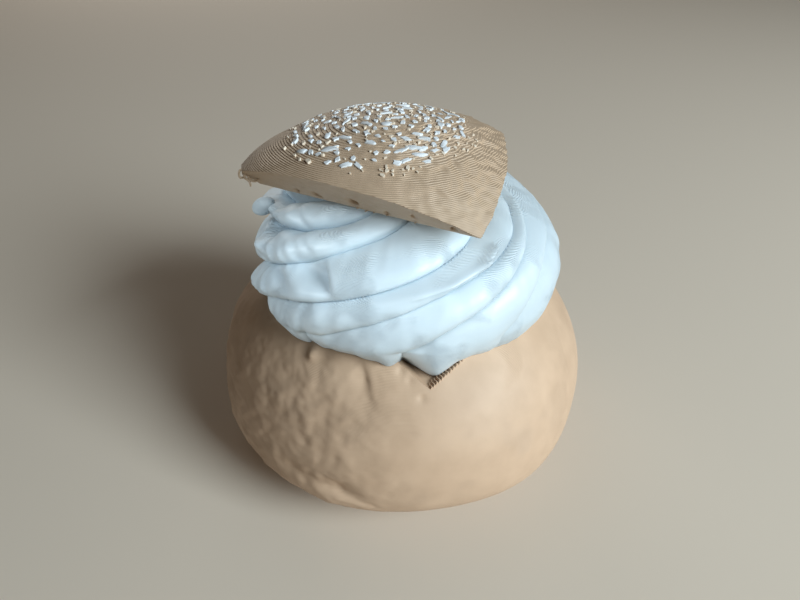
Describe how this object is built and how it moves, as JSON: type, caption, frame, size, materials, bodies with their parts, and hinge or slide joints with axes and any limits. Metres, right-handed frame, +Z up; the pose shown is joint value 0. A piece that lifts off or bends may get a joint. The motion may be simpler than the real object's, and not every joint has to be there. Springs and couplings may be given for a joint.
{
  "type": "printed plastic semla",
  "caption": "Display copy of a semla in printed plastic: a round bun, a twisted swirl of cream and a cut-off lid with pale flecks, standing on a flat base.",
  "frame": {"origin": "middle of the bun's flat base, on the surface that the part stands on", "axes": "+Z up through the lid; the front, with the open corner of the hole below the cream, faces -Y"},
  "size_m": [0.0849, 0.085, 0.0776],
  "materials": {
    "bun_tan": "printed in layers, satin",
    "cream_white": "printed in layers, satin",
    "lid_tan": "printed in layers, satin"
  },
  "bodies": {
    "root": {"bun": "bun_tan", "cream": "cream_white", "lid": "lid_tan"}
  },
  "joints": []
}
